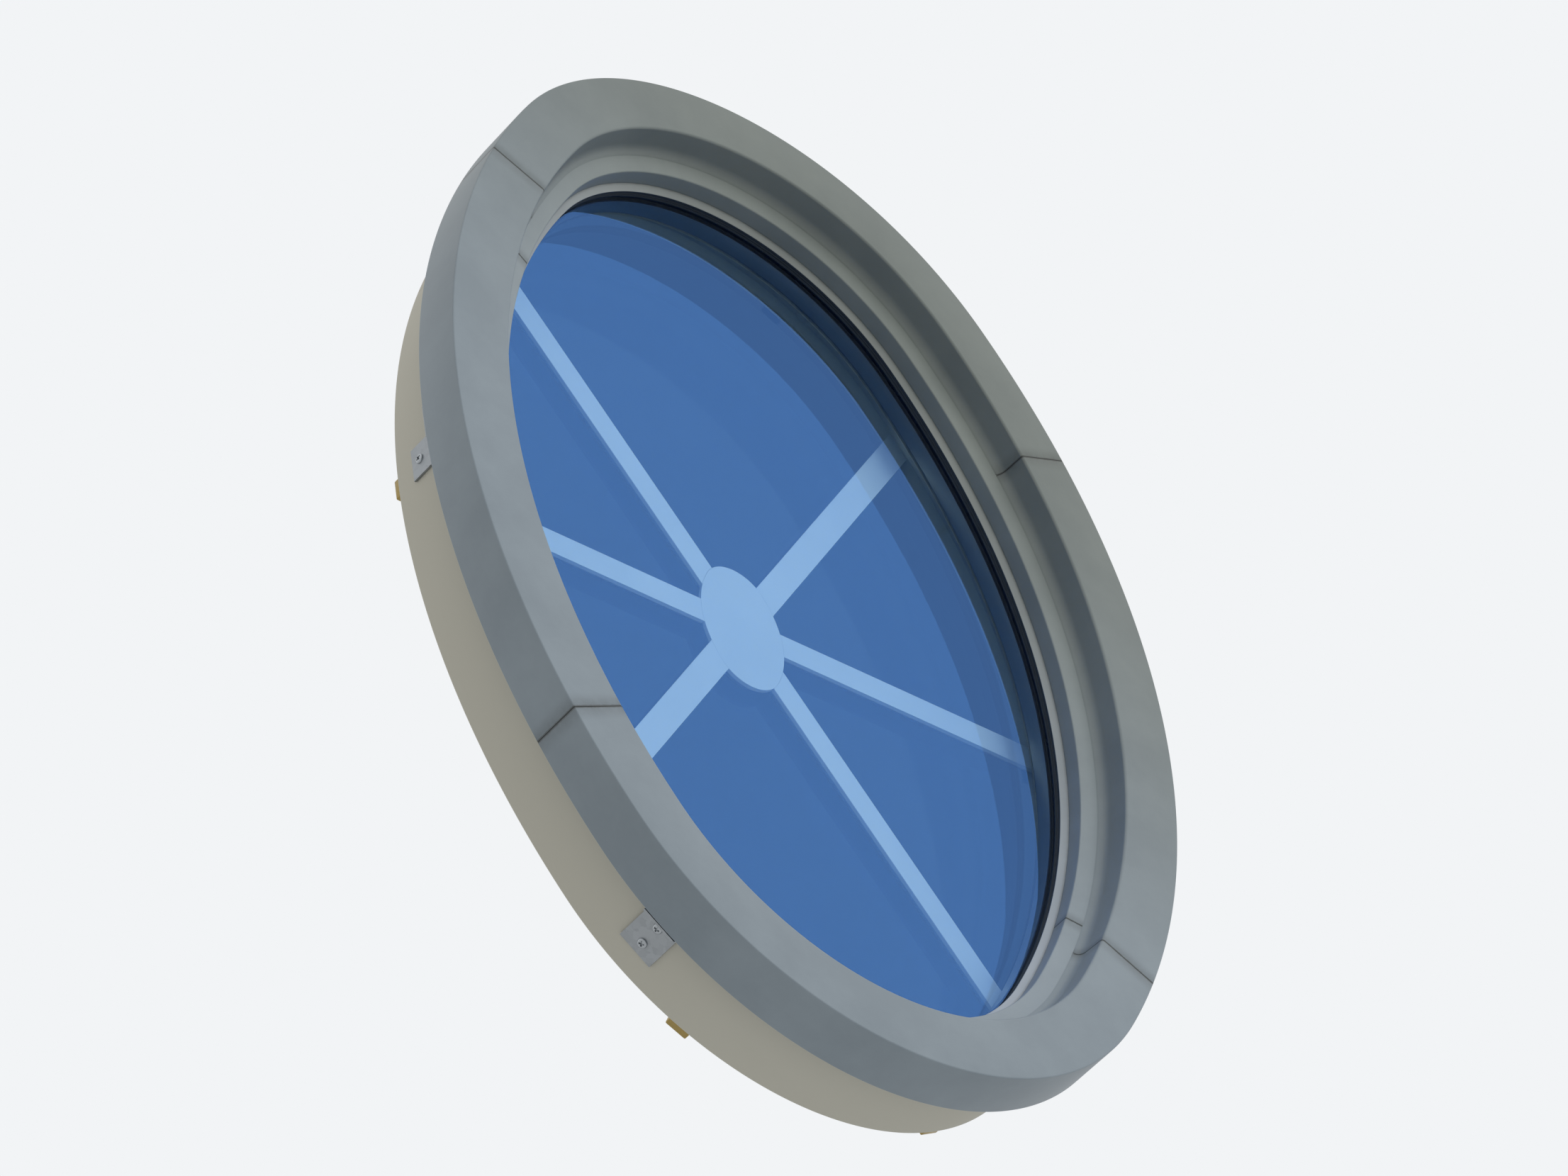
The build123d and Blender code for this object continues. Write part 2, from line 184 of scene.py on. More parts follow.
def painted(
    name,
    colour,
    worn,
    roughness,
    brushed=True,
    with_painted_shade=True,
    dirty_depth=None,
    dirt_reach=0.0,
    bare_depth=None,
):
    """Satin paint on wood, faded in patches. Brushed paint has strokes that follow the moulding, and sprayed
    paint a fine peel. With painted shade, the paint is painted darker and warmer towards the upper right,
    as the wall's arch would shade it, and stays cool at the lower left, as the sky would light it. Brushed
    pieces have dirt in their seams, and round the dirty depth, where two of them meet. Behind the bare
    depth the wood has only a matt undercoat."""
    material, tree, output = new_material(name)
    coords = add(tree, "ShaderNodeTexCoord").outputs["Object"]
    depth = add(tree, "ShaderNodeSeparateXYZ", [coords]).outputs["Y"]
    if brushed:
        # Bristle marks 1.4 mm apart, each about 70 mm long
        along = add(tree, "ShaderNodeAttribute", attribute_name="along").outputs["Fac"]
        across = add(tree, "ShaderNodeAttribute", attribute_name="across").outputs["Fac"]
        run = add(tree, "ShaderNodeMath", [along, 70 * mm], operation="DIVIDE")
        width = add(tree, "ShaderNodeMath", [across, 1.4 * mm], operation="DIVIDE")
        strokes_at = add(tree, "ShaderNodeCombineXYZ", [run, width])
        bristles = {"Vector": strokes_at, "Scale": 1.0, "Detail": 3.0, "Roughness": 0.6}
        strokes = add(tree, "ShaderNodeTexNoise", bristles)
    else:
        # The peel of sprayed paint, lumps of about 1.5 mm
        peel = {"Vector": coords, "Scale": 1 / (1.5 * mm), "Detail": 2.0}
        strokes = add(tree, "ShaderNodeTexNoise", peel)
    # Patches of about 90 mm that have chalked or faded differently
    chalking = {"Vector": coords, "Scale": 1 / (90 * mm), "Detail": 5.0, "Roughness": 0.62}
    patches = add(tree, "ShaderNodeTexNoise", chalking)
    faded = add(tree, "ShaderNodeMapRange", {"Value": patches, "From Min": 0.38, "From Max": 0.66})
    shades = {"Factor": faded, "A": linear(colour), "B": linear(worn)}
    tone = add(tree, "ShaderNodeMix", shades, data_type="RGBA")
    streaks = add(tree, "ShaderNodeMath", [strokes, 0.22], operation="MULTIPLY")
    layers = {"Factor": streaks, "A": tone, "B": linear(worn)}
    tone = add(tree, "ShaderNodeMix", layers, data_type="RGBA")
    glosses = {"Value": patches, "To Min": roughness - 0.06, "To Max": roughness + 0.08}
    gloss = add(tree, "ShaderNodeMapRange", glosses)
    # Painted shade: multiplied in, it darkens and warms the paint towards the upper right
    if with_painted_shade:
        toward_shade = add(tree, "ShaderNodeVectorMath", [coords, shade_way], operation="DOT_PRODUCT")
        shade_ramp = {"Value": toward_shade.outputs["Value"], "From Min": shade_start, "From Max": shade_end}
        shade_share = add(tree, "ShaderNodeMapRange", shade_ramp, interpolation_type="SMOOTHSTEP")
        layers = {"Factor": shade_share, "A": tone, "B": linear(painted_shade)}
        tone = add(tree, "ShaderNodeMix", layers, data_type="RGBA", blend_type="MULTIPLY")
    if brushed:
        # Smudges of about 14 mm break up the dirt
        smudging = {"Vector": coords, "Scale": 1 / (14 * mm), "Detail": 6.0, "Roughness": 0.7}
        smudge = add(tree, "ShaderNodeTexNoise", smudging)
        heavy = add(tree, "ShaderNodeMath", [smudge, dirt_share], operation="MULTIPLY")
        if dirty_depth is not None:
            away = add(tree, "ShaderNodeMath", [depth, dirty_depth], operation="SUBTRACT")
            away = add(tree, "ShaderNodeMath", [away], operation="ABSOLUTE")
            spread = {"Value": away, "From Min": dirt_reach, "From Max": 0.0}
            near = add(tree, "ShaderNodeMapRange", spread, interpolation_type="SMOOTHSTEP")
            grime = add(tree, "ShaderNodeMath", [near, heavy], operation="MULTIPLY", use_clamp=True)
            layers = {"Factor": grime, "A": tone, "B": linear(dirt)}
            tone = add(tree, "ShaderNodeMix", layers, data_type="RGBA")
        # The stain that water draws into the end grain at a seam, about 13 mm to each side
        to_end = add(tree, "ShaderNodeAttribute", attribute_name="to_end").outputs["Fac"]
        spread = {"Value": to_end, "From Min": 13 * mm, "From Max": 0.0}
        near = add(tree, "ShaderNodeMapRange", spread, interpolation_type="SMOOTHSTEP")
        stain = add(tree, "ShaderNodeMath", [near, heavy], operation="MULTIPLY")
        layers = {"Factor": stain, "A": tone, "B": linear(dirt)}
        tone = add(tree, "ShaderNodeMix", layers, data_type="RGBA")
        # The seam itself: a hairline of dirt with a ragged edge, about 1 mm to each side
        ragged = add(tree, "ShaderNodeTexNoise", {"Vector": coords, "Scale": 1 / (3 * mm), "Detail": 3.0})
        frayed = add(tree, "ShaderNodeMath", [ragged, -1.2 * mm, 0.6 * mm], operation="MULTIPLY_ADD")
        edge = add(tree, "ShaderNodeMath", [to_end, frayed], operation="ADD")
        hairline = {"Value": edge, "From Min": 1.3 * mm, "From Max": 0.5 * mm, "To Max": 0.7}
        line = add(tree, "ShaderNodeMapRange", hairline)
        layers = {"Factor": line, "A": tone, "B": linear(dirt)}
        tone = add(tree, "ShaderNodeMix", layers, data_type="RGBA")
    if bare_depth is not None:
        # The edge that the painter left wanders by about a millimetre
        wander = add(tree, "ShaderNodeMath", [patches, 3 * mm, depth], operation="MULTIPLY_ADD")
        paint_edge = {"Value": wander, "From Min": bare_depth, "From Max": bare_depth + 0.5 * mm}
        bare = add(tree, "ShaderNodeMapRange", paint_edge)
        layers = {"Factor": bare, "A": tone, "B": linear(undercoat)}
        tone = add(tree, "ShaderNodeMix", layers, data_type="RGBA")
        gloss = add(tree, "ShaderNodeMath", [bare, 0.25, gloss], operation="MULTIPLY_ADD")
    bump = add(tree, "ShaderNodeBump", {"Strength": 0.35, "Distance": 0.12 * mm, "Height": strokes})
    coat = {"Base Color": tone, "Roughness": gloss, "IOR": 1.48, "Normal": bump}
    surface = add(tree, "ShaderNodeBsdfPrincipled", coat)
    tree.links.new(surface.outputs[0], output.inputs["Surface"])
    return material


# What bare glass mirrors of the light that falls on it square on
bare_mirror = 0.04
dust_tone = "#c8d0d4"


def glass(name, passed, mirrored, coating, dusty):
    """Flat glass with a coating on its street side. It passes one colour and mirrors another, the coating's
    share of it seen square on and more at a glance. Its room side mirrors as bare glass does. Dusty is what
    patches of dust leave of its clearness. Each face mirrors only from outside the pane, so that the two
    don't trap light."""
    material, tree, output = new_material(name)
    coords = add(tree, "ShaderNodeTexCoord").outputs["Object"]
    face = add(tree, "ShaderNodeNewGeometry").outputs
    turned = add(tree, "ShaderNodeSeparateXYZ", [face["Normal"]]).outputs["Y"]
    street = add(tree, "ShaderNodeMath", [turned, 0.0], operation="LESS_THAN")
    least = add(tree, "ShaderNodeMapRange", {"Value": street, "To Min": bare_mirror, "To Max": coating})
    glance = add(tree, "ShaderNodeLayerWeight", {"Blend": 0.5}).outputs["Facing"]
    rise = add(tree, "ShaderNodeMath", [glance, 5.0], operation="POWER")
    share = add(tree, "ShaderNodeMapRange", {"Value": rise, "To Min": least, "To Max": 1.0})
    front = add(tree, "ShaderNodeMath", [1.0, face["Backfacing"]], operation="SUBTRACT")
    share = add(tree, "ShaderNodeMath", [share, front], operation="MULTIPLY")
    # Roller waves of tempered glass, about 250 mm apart and far too shallow to feel
    waves = add(tree, "ShaderNodeTexNoise", {"Vector": coords, "Scale": 1 / (250 * mm), "Detail": 1.0})
    bump = add(tree, "ShaderNodeBump", {"Strength": 0.25, "Distance": 1.5 * mm, "Height": waves})
    # A thin film of dust, in patches of about 60 mm
    dusting = {"Vector": coords, "Scale": 1 / (60 * mm), "Detail": 6.0, "Roughness": 0.65}
    dust = add(tree, "ShaderNodeTexNoise", dusting)
    clearness = {"Value": dust, "From Min": 0.35, "From Max": 0.75, "To Min": 1.0, "To Max": dusty}
    clean = add(tree, "ShaderNodeMapRange", clearness)
    shades = {"Factor": clean, "A": linear(dust_tone), "B": linear(passed)}
    tint = add(tree, "ShaderNodeMix", shades, data_type="RGBA")
    through = add(tree, "ShaderNodeBsdfTransparent", {"Color": tint})
    shine = add(tree, "ShaderNodeBsdfGlossy", {"Color": linear(mirrored), "Roughness": 0.01, "Normal": bump})
    surface = add(tree, "ShaderNodeMixShader", [share, through, shine])
    tree.links.new(surface.outputs[0], output.inputs["Surface"])
    return material


# Brushed oil paint on the casing: a grey cooled by painted sky light, which the painted shade turns to greige
# towards the upper right, with dirt in its seams
casing_paint = painted(
    "satin_greige_paint_brushed_on_milled_wood", "#808b94", "#8b969f", roughness=0.46
)
# The depth at which the bead meets the frame
bead_seam = -4 * mm
# The same paint, a little paler, on the ring that holds the glass: dirt at the bead, and only undercoat where
# the wall hides it
frame_paint = painted(
    "satin_greige_paint_brushed_on_laminated_wood",
    "#8d98a1",
    "#98a3ac",
    roughness=0.44,
    dirty_depth=bead_seam,
    dirt_reach=1.5 * mm,
    bare_depth=2 * mm,
)
# A paler coat on the narrow bead, partly painted light for the bright line that the narrow strip shows
bead_paint = painted(
    "pale_greige_paint_brushed_on_glazing_bead",
    "#a3acb6",
    "#aeb7c1",
    roughness=0.4,
    dirty_depth=bead_seam,
    dirt_reach=1 * mm,
)
# Off-white indoor eggshell on the stop
room_paint = painted(
    "off_white_eggshell_brushed_on_stop", "#cfccc0", "#d8d6cc", roughness=0.5, with_painted_shade=False
)
# White satin sprayed on the grille, cooled towards blue by painted sky light, and clean because it is indoors
grille_paint = painted(
    "cool_white_satin_sprayed_on_grille",
    "#dfe3ee",
    "#e6e9f2",
    roughness=0.38,
    brushed=False,
    with_painted_shade=False,
)

# Planed beech of the splines: short flecks along the grain, 1.2 mm wide and 22 mm long, not varnished
spline_wood, tree, output = new_material("planed_beech")
coords = add(tree, "ShaderNodeTexCoord").outputs["Object"]
fleck = (1 / (1.2 * mm), 1 / (1.2 * mm), 1 / (22 * mm))
grain_at = add(tree, "ShaderNodeMapping", {"Vector": coords, "Scale": fleck})
grain = add(tree, "ShaderNodeTexNoise", {"Vector": grain_at, "Scale": 1.0, "Detail": 4.0})
shades = {"Factor": grain, "A": linear("#a97a50"), "B": linear("#c79b6e")}
tone = add(tree, "ShaderNodeMix", shades, data_type="RGBA")
bump = add(tree, "ShaderNodeBump", {"Strength": 0.4, "Distance": 0.1 * mm, "Height": grain})
surface = add(tree, "ShaderNodeBsdfPrincipled", {"Base Color": tone, "Roughness": 0.62, "Normal": bump})
tree.links.new(surface.outputs[0], output.inputs["Surface"])

butyl = "#10151b"
butyl_roughness = 0.75


def metal(name, dark, light, roughness, grain, rolled=False, crystals=False, sealed=None):
    """Bare or plated metal. Its tone and gloss vary in grains of the size given, along X, Y and Z. On rolled
    strip they are lines, and their size is along and across the strip. Crystals are the grains of zinc.
    Sealed is a depth and how far from it the metal shows, before the black butyl that seals it to a pane."""
    material, tree, output = new_material(name)
    if rolled:
        along = add(tree, "ShaderNodeAttribute", attribute_name="along").outputs["Fac"]
        across = add(tree, "ShaderNodeAttribute", attribute_name="across").outputs["Fac"]
        place = add(tree, "ShaderNodeCombineXYZ", [along, across])
    else:
        place = add(tree, "ShaderNodeTexCoord").outputs["Object"]
    placed = add(tree, "ShaderNodeMapping", {"Vector": place, "Scale": [1 / size for size in grain]})
    if crystals:
        # The borders of the crystals are feathered, not cut straight
        feather = add(tree, "ShaderNodeTexNoise", {"Vector": placed, "Scale": 3.0, "Detail": 3.0})
        shift = [feather.outputs["Color"], (0.5, 0.5, 0.5), placed]
        placed = add(tree, "ShaderNodeVectorMath", shift, operation="MULTIPLY_ADD")
        cells = add(tree, "ShaderNodeTexVoronoi", {"Vector": placed, "Scale": 1.0}).outputs["Color"]
        value = add(tree, "ShaderNodeSeparateColor", [cells])
    else:
        value = add(tree, "ShaderNodeTexNoise", {"Vector": placed, "Scale": 1.0, "Detail": 4.0})
    shades = {"Factor": value, "A": linear(dark), "B": linear(light)}
    tone = add(tree, "ShaderNodeMix", shades, data_type="RGBA")
    glosses = {"Value": value, "To Min": roughness - 0.07, "To Max": roughness + 0.1}
    gloss = add(tree, "ShaderNodeMapRange", glosses)
    metallic = 1.0
    if sealed:
        middle, reach = sealed
        coords = add(tree, "ShaderNodeTexCoord").outputs["Object"]
        depth = add(tree, "ShaderNodeSeparateXYZ", [coords]).outputs["Y"]
        away = add(tree, "ShaderNodeMath", [depth, middle], operation="SUBTRACT")
        away = add(tree, "ShaderNodeMath", [away], operation="ABSOLUTE")
        metallic = add(tree, "ShaderNodeMath", [away, reach], operation="LESS_THAN")
        layers = {"Factor": metallic, "A": linear(butyl), "B": tone}
        tone = add(tree, "ShaderNodeMix", layers, data_type="RGBA")
        gloss = add(tree, "ShaderNodeMix", {"Factor": metallic, "A": butyl_roughness, "B": gloss})
    bump = add(tree, "ShaderNodeBump", {"Strength": 0.3, "Distance": 0.03 * mm, "Height": value})
    coat = {"Base Color": tone, "Metallic": metallic, "Roughness": gloss, "Normal": bump}
    surface = add(tree, "ShaderNodeBsdfPrincipled", coat)
    tree.links.new(surface.outputs[0], output.inputs["Surface"])
    return material


# Hot-dip galvanised strip: zinc crystals of about 5 mm, dull and uneven
clip_steel = metal(
    "galvanised_steel_strip", "#969a9d", "#a9adb0", roughness=0.48, grain=[5 * mm] * 3, crystals=True
)
# Electroplated screws: smoother and brighter than the strip
screw_steel = metal("zinc_plated_steel", "#a4a8ab", "#b2b6b9", roughness=0.36, grain=[0.7 * mm] * 3)
# Aluminium of the spacer: lines of rolling along the strip, gone dull behind the glass, and a black line of
# butyl at each pane
spacer_middle = 16.4 * mm
spacer_bare_reach = 6.6 * mm
spacer_metal = metal(
    "rolled_aluminium_spacer",
    "#94938c",
    "#a9a8a0",
    roughness=0.42,
    grain=[30 * mm, 0.8 * mm, 1 * mm],
    rolled=True,
    sealed=(spacer_middle, spacer_bare_reach),
)
# Tumbled brass under a thin lacquer: a soft mottle, gone a little brown with handling
button_brass = metal("lacquered_satin_brass", "#93804f", "#ab9560", roughness=0.36, grain=[1.5 * mm] * 3)

# Extruded glazing rubber: matt, nearly black, with a cold bloom of dust and fine pores
black_rubber, tree, output = new_material("extruded_black_rubber")
coords = add(tree, "ShaderNodeTexCoord").outputs["Object"]
dust = add(tree, "ShaderNodeTexNoise", {"Vector": coords, "Scale": 1 / (8 * mm), "Detail": 5.0})
shades = {"Factor": dust, "A": linear("#141e28"), "B": linear("#26323d")}
tone = add(tree, "ShaderNodeMix", shades, data_type="RGBA")
pores = add(tree, "ShaderNodeTexNoise", {"Vector": coords, "Scale": 1 / (0.7 * mm), "Detail": 2.0})
bump = add(tree, "ShaderNodeBump", {"Strength": 0.5, "Distance": 0.05 * mm, "Height": pores})
surface = add(tree, "ShaderNodeBsdfPrincipled", {"Base Color": tone, "Roughness": 0.7, "Normal": bump})
tree.links.new(surface.outputs[0], output.inputs["Surface"])

# Float glass whose mirror is tinted blue, a painted reflection of the sky: the pale studio comes back as the
# sky does
outer_glass = glass("glass_with_painted_sky_reflection", "#f9feff", "#6ca7ff", coating=0.25, dusty=0.97)
# The second pane of the unit, with a fainter mirror of its own, also tinted blue as a painted reflection of
# the sky
inner_glass = glass("second_pane_with_painted_sky_reflection", "#f9feff", "#6fa9fa", coating=0.16, dusty=0.97)
# Navy glass on the room side: a dark sheet that paints in the shade of the dark room behind the grille
room_shade_glass = glass("navy_glass_painting_room_shade", "#6c7379", "#8fa6c4", coating=bare_mirror, dusty=0.99)


def moulding_tree():
    """Sweeps a profile along the oval between two angles. Inputs: the profile's object, the angles, the
    number of steps, whether the path is a closed ring, the oval's sizes and the material."""
    tree = bpy.data.node_groups.new("oval_moulding", "GeometryNodeTree")
    for name, kind in (
        ("Profile", "NodeSocketObject"),
        ("First angle", "NodeSocketFloat"),
        ("Last angle", "NodeSocketFloat"),
        ("Steps", "NodeSocketInt"),
        ("Closed", "NodeSocketBool"),
        ("End rise", "NodeSocketFloat"),
        ("End radius", "NodeSocketFloat"),
        ("Side shift", "NodeSocketFloat"),
        ("Side radius", "NodeSocketFloat"),
        ("Joint angle", "NodeSocketFloat"),
        ("Material", "NodeSocketMaterial"),
    ):
        tree.interface.new_socket(name, in_out="INPUT", socket_type=kind)
    tree.interface.new_socket("Geometry", in_out="OUTPUT", socket_type="NodeSocketGeometry")
    given = add(tree, "NodeGroupInput").outputs
    # The angle of the normal at each point of the path
    index = add(tree, "GeometryNodeInputIndex")
    span = add(tree, "ShaderNodeMath", [given["Last angle"], given["First angle"]], operation="SUBTRACT")
    step = add(tree, "ShaderNodeMath", [span, given["Steps"]], operation="DIVIDE")
    angle = add(tree, "ShaderNodeMath", [index, step, given["First angle"]], operation="MULTIPLY_ADD")
    angle = add(tree, "ShaderNodeMath", [angle], operation="RADIANS")
    rise = add(tree, "ShaderNodeMath", [angle], operation="SINE")
    across = add(tree, "ShaderNodeMath", [angle], operation="COSINE")
    # The end arcs hold where the normal is steeper than the joint, and the side arcs elsewhere
    steepness = add(tree, "ShaderNodeMath", [rise], operation="ABSOLUTE")
    limit = add(tree, "ShaderNodeMath", [given["Joint angle"]], operation="SINE")
    at_end = add(tree, "ShaderNodeMath", [steepness, limit], operation="GREATER_THAN")
    at_side = add(tree, "ShaderNodeMath", [1.0, at_end], operation="SUBTRACT")
    end_part = add(tree, "ShaderNodeMath", [at_end, given["End radius"]], operation="MULTIPLY")
    radius = add(tree, "ShaderNodeMath", [at_side, given["Side radius"], end_part], operation="MULTIPLY_ADD")
    # Each arc's centre lies above or below, or to the other side of, the middle of the oval
    up_or_down = add(tree, "ShaderNodeMath", [rise], operation="SIGN")
    up_shift = add(tree, "ShaderNodeMath", [up_or_down, given["End rise"]], operation="MULTIPLY")
    up_shift = add(tree, "ShaderNodeMath", [up_shift, at_end], operation="MULTIPLY")
    left_or_right = add(tree, "ShaderNodeMath", [across], operation="SIGN")
    out_shift = add(tree, "ShaderNodeMath", [left_or_right, given["Side shift"]], operation="MULTIPLY")
    out_shift = add(tree, "ShaderNodeMath", [out_shift, at_side], operation="MULTIPLY")
    x = add(tree, "ShaderNodeMath", [radius, across], operation="MULTIPLY")
    x = add(tree, "ShaderNodeMath", [x, out_shift], operation="SUBTRACT")
    z = add(tree, "ShaderNodeMath", [radius, rise, up_shift], operation="MULTIPLY_ADD")
    place = add(tree, "ShaderNodeCombineXYZ", {"X": x, "Z": z})
    normal = add(tree, "ShaderNodeCombineXYZ", {"X": across, "Z": rise})
    # An open path has one point more than it has steps
    count = add(tree, "ShaderNodeMath", [given["Steps"], 1.0], operation="ADD")
    count = add(tree, "ShaderNodeMath", [count, given["Closed"]], operation="SUBTRACT")
    line = add(tree, "GeometryNodeMeshLine", {"Count": count})
    line = add(
        tree,
        "GeometryNodeStoreNamedAttribute",
        {"Geometry": line, "Name": "outward", "Value": normal},
        data_type="FLOAT_VECTOR",
        domain="POINT",
    )
    line = add(tree, "GeometryNodeSetPosition", {"Geometry": line, "Position": place})
    path = add(tree, "GeometryNodeMeshToCurve", {"Mesh": line})
    path = add(tree, "GeometryNodeSetSplineCyclic", {"Geometry": path, "Cyclic": given["Closed"]})
    outward = add(tree, "GeometryNodeInputNamedAttribute", {"Name": "outward"}, data_type="FLOAT_VECTOR")
    path = add(tree, "GeometryNodeSetCurveNormal", {"Curve": path, "Normal": outward}, mode="FREE")
    run = add(tree, "GeometryNodeSplineParameter").outputs["Length"]
    path = add(
        tree,
        "GeometryNodeStoreNamedAttribute",
        {"Geometry": path, "Name": "along", "Value": run},
        data_type="FLOAT",
        domain="POINT",
    )
    # How far each point is from the nearer end, for the dirt at the seams. A closed ring has no end, so
    # there it is a metre more than it would be
    whole = add(tree, "GeometryNodeSplineLength").outputs["Length"]
    rest = add(tree, "ShaderNodeMath", [whole, run], operation="SUBTRACT")
    nearer = add(tree, "ShaderNodeMath", [run, rest], operation="MINIMUM")
    nearer = add(tree, "ShaderNodeMath", [nearer, given["Closed"]], operation="ADD")
    path = add(
        tree,
        "GeometryNodeStoreNamedAttribute",
        {"Geometry": path, "Name": "to_end", "Value": nearer},
        data_type="FLOAT",
        domain="POINT",
    )
    profile = add(tree, "GeometryNodeObjectInfo", {"Object": given["Profile"]}, transform_space="ORIGINAL")
    girth = add(tree, "GeometryNodeSplineParameter").outputs["Length"]
    profile = add(
        tree,
        "GeometryNodeStoreNamedAttribute",
        {"Geometry": profile.outputs["Geometry"], "Name": "across", "Value": girth},
        data_type="FLOAT",
        domain="POINT",
    )
    swept = add(tree, "GeometryNodeCurveToMesh", {"Curve": path, "Profile Curve": profile, "Fill Caps": True})
    real = add(tree, "GeometryNodeRealizeInstances", {"Geometry": swept})
    coated = add(tree, "GeometryNodeSetMaterial", {"Geometry": real, "Material": given["Material"]})
    add(tree, "NodeGroupOutput", {"Geometry": coated})
    return tree


def profile_object(name, outline):
    """A closed flat curve through the corners of an outline: x is minus the inset, and y the depth."""
    curve = bpy.data.curves.new(name, "CURVE")
    curve.dimensions = "2D"
    line = curve.splines.new("POLY")
    line.points.add(len(outline) - 1)
    for point, (inset, depth) in zip(line.points, outline):
        point.co = (-inset * mm, depth * mm, 0.0, 1.0)
    line.use_cyclic_u = True
    return bpy.data.objects.new(name, curve)


def set_inputs(modifier, values):
    """Sets a Geometry Nodes modifier's inputs, found by name, through each socket's identifier."""
    for item in modifier.node_group.interface.items_tree:
        if item.in_out == "INPUT" and item.name in values:
            modifier[item.identifier] = values[item.name]


weld_distance = 0.001 * mm


def plain_mesh(made, name):
    """The evaluated object as a plain mesh, without its modifiers, closed and facing outwards."""
    bpy.context.view_layer.update()
    shown = made.evaluated_get(bpy.context.evaluated_depsgraph_get())
    mesh = bpy.data.meshes.new_from_object(shown)
    mesh.name = name
    made.modifiers.clear()
    work = bmesh.new()
    work.from_mesh(mesh)
    bmesh.ops.remove_doubles(work, verts=work.verts, dist=weld_distance)
    bmesh.ops.recalc_face_normals(work, faces=work.faces)
    work.to_mesh(mesh)
    work.free()
    made.data = mesh
    return mesh


sweep = moulding_tree()
all_round = (-90.0, 270.0)
# Corners that turn by more than the first are eased at a moulding's ends. By more than the second, they stay
# sharp in its shading
eased_corner = radians(60)
sharp_corner = radians(38)


def moulding(name, outline, span, coat, stands_for, ease=0.0, step=1.0):
    """Sweeps an outline round the oval between two angles, eases its ends, and puts it in a node's place."""
    first, last = span
    profile = profile_object(name + "_profile", outline)
    scene.collection.objects.link(profile)
    made = bpy.data.objects.new(name, bpy.data.meshes.new(name + "_start"))
    scene.collection.objects.link(made)
    modifier = made.modifiers.new("moulding", "NODES")
    modifier.node_group = sweep
    set_inputs(
        modifier,
        {
            "Profile": profile,
            "First angle": first,
            "Last angle": last,
            "Steps": round((last - first) / step),
            "Closed": span == all_round,
            "End rise": end_rise,
            "End radius": end_radius,
            "Side shift": side_shift,
            "Side radius": side_radius,
            "Joint angle": joint_angle,
            "Material": coat,
        },
    )
    mesh = plain_mesh(made, name)
    if ease:
        bevel = made.modifiers.new("eased_ends", "BEVEL")
        bevel.width = ease * mm
        bevel.segments = 3
        bevel.limit_method = "ANGLE"
        bevel.angle_limit = eased_corner
        mesh = plain_mesh(made, name)
    mesh.shade_smooth()
    mesh.set_sharp_from_angle(angle=sharp_corner)
    bpy.data.objects.remove(profile)
    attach(made, "root")
    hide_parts(*stands_for)


def rounded(corners, parts=5):
    """An outline of (inset, depth, radius) corners, each of them rounded to its radius in so many parts."""
    outline = []
    for i, (inset, depth, radius) in enumerate(corners):
        here = Vector((inset, depth))
        if not radius:
            outline.append((inset, depth))
            continue
        before = (Vector(corners[i - 1][:2]) - here).normalized()
        after = (Vector(corners[(i + 1) % len(corners)][:2]) - here).normalized()
        half = before.angle(after) / 2
        centre = here + (before + after).normalized() * radius / sin(half)
        start = here + before * radius / tan(half) - centre
        end = here + after * radius / tan(half) - centre
        bend = start.angle_signed(end)
        turns = [Matrix.Rotation(-bend * k / parts, 2) for k in range(parts + 1)]
        outline += [tuple(centre + turn @ start) for turn in turns]
    return outline


def clear_of_seams(first, last, gap):
    """The span between two seams with half of the gap taken off each end."""
    spare = degrees(gap / 2 * mm / side_radius)
    return first + spare, last - spare


# The last side of each outline, back to its first corner, is one that other pieces hide: the strokes of the
# brush are squeezed there

# Casing: a flat face with eased edges, a drafted return, a true cove at its foot and a leg to the wall
foot_inset = 56.5
foot_depth = -21.0
cove_width = 6.2
cove_height = 8.5
cove = []
for turned in range(0, 91, 9):
    inset = foot_inset - cove_width * cos(radians(turned))
    depth = foot_depth + cove_height * (sin(radians(turned)) - 1)
    cove.append((inset, depth, 0.0))
casing_outline = rounded(
    [
        (24.6, -4.6, 0.0),
        (0.0, -4.6, 0.6),
        (0.0, -46.0, 1.2),
        (49.5, -46.0, 2.2),
        *cove,
        (24.6, foot_depth, 0.0),
    ]
)
casing_gap = 0.4
casing_seams = (-28.5, 22.0, 154.0, 206.0, 331.5)
casing_names = ("casing_right", "casing_top", "casing_left", "casing_bottom")
for name, first, last in zip(casing_names, casing_seams, casing_seams[1:]):
    moulding(
        name + "_moulding",
        casing_outline,
        clear_of_seams(first, last, casing_gap),
        casing_paint,
        [name],
        ease=0.7,
        step=0.75,
    )

# Frame: the sloping ledge with a softened lip, the rebate of the glass and the shoulder of the stop
frame_back = 60.0
frame_outline = rounded(
    [
        (60.0, 27.4, 0.0),
        (46.0, 27.4, 0.0),
        (46.0, frame_back, 1.0),
        (25.0, frame_back, 1.0),
        (25.0, foot_depth, 0.0),
        (56.7, foot_depth, 0.3),
        (69.5, -17.8, 1.4),
        (69.5, -4.0, 0.0),
        (60.0, -4.0, 0.0),
    ]
)
frame_gap = 0.3
frame_seams = (-25.0, 159.0, 335.0)
frame_names = ("frame_upper", "frame_lower")
for name, first, last in zip(frame_names, frame_seams, frame_seams[1:]):
    moulding(
        name + "_moulding",
        frame_outline,
        clear_of_seams(first, last, frame_gap),
        frame_paint,
        [name],
        ease=0.4,
        step=0.75,
    )

